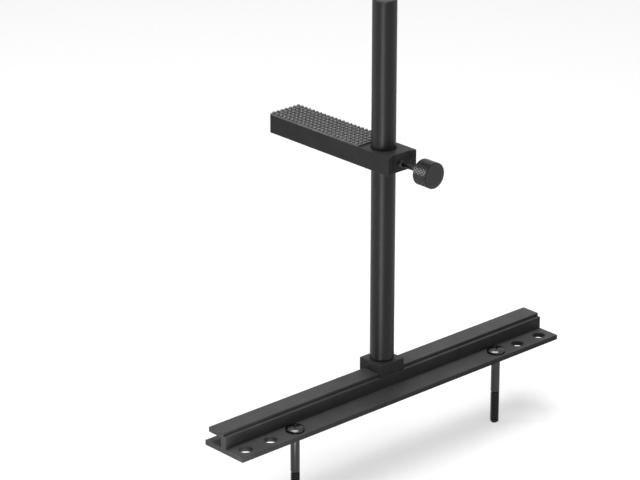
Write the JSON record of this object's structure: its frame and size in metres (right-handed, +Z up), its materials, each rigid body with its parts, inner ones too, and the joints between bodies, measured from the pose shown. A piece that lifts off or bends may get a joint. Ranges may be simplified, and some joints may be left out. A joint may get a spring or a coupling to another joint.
{
  "type": "graphics card support bracket",
  "caption": "Black aluminium bracket that screws to a case fan and props up an expansion card with an arm that slides on a post.",
  "frame": {"origin": "on the rail's underside, at mid length, on the line of its screw holes", "axes": "+X along the rail, +Y from the screw holes towards the arm and the card, +Z up along the post"},
  "size_m": [0.164, 0.0823, 0.1815],
  "materials": {
    "anodised_rail": "matte black anodised",
    "anodised_slider": "matte black anodised",
    "anodised_post": "satin black anodised",
    "anodised_arm": "matte black anodised",
    "rubber": "soft satin",
    "screw_steel": "dark plated",
    "anodised_knob": "black anodised, knurled",
    "blackened_steel": "black plated"
  },
  "bodies": {
    "rail": {"rail": "anodised_rail", "screw_left": "blackened_steel", "screw_right": "blackened_steel"},
    "slider": {"slider": "anodised_slider"},
    "post": {"post": "anodised_post"},
    "arm": {"arm": "anodised_arm", "rubber_pad": "rubber"},
    "clamp_screw": {"clamp_screw": "screw_steel"},
    "clamp_knob": {"clamp_knob": "anodised_knob"}
  },
  "joints": [
    {"name": "slider_slide", "type": "slide", "parent": "rail", "child": "slider", "axis": [1, 0, 0], "range_m": [-0.0773, 0.0747]},
    {"name": "post_turn", "type": "hinge", "parent": "slider", "child": "post", "pos_m": [0.0013, 0.0106, 0.01155], "axis": [0, 0, 1], "continuous": true},
    {"name": "arm_slide", "type": "slide", "parent": "post", "child": "arm", "axis": [0, 0, 1], "range_m": [-0.0773, 0.0568]},
    {"name": "clamp_screw_travel", "type": "slide", "parent": "arm", "child": "clamp_screw", "axis": [0, -1, 0], "range_m": [0, 0.0015]},
    {"name": "clamp_knob_turn", "type": "hinge", "parent": "clamp_screw", "child": "clamp_knob", "pos_m": [0.0013, -0.0131, 0.09235], "axis": [0, -1, 0], "range_deg": [0, 1080]}
  ],
  "couplings": [
    {"joint": "clamp_knob_turn", "follows": "clamp_screw_travel", "rad_per_m": 12566}
  ]
}
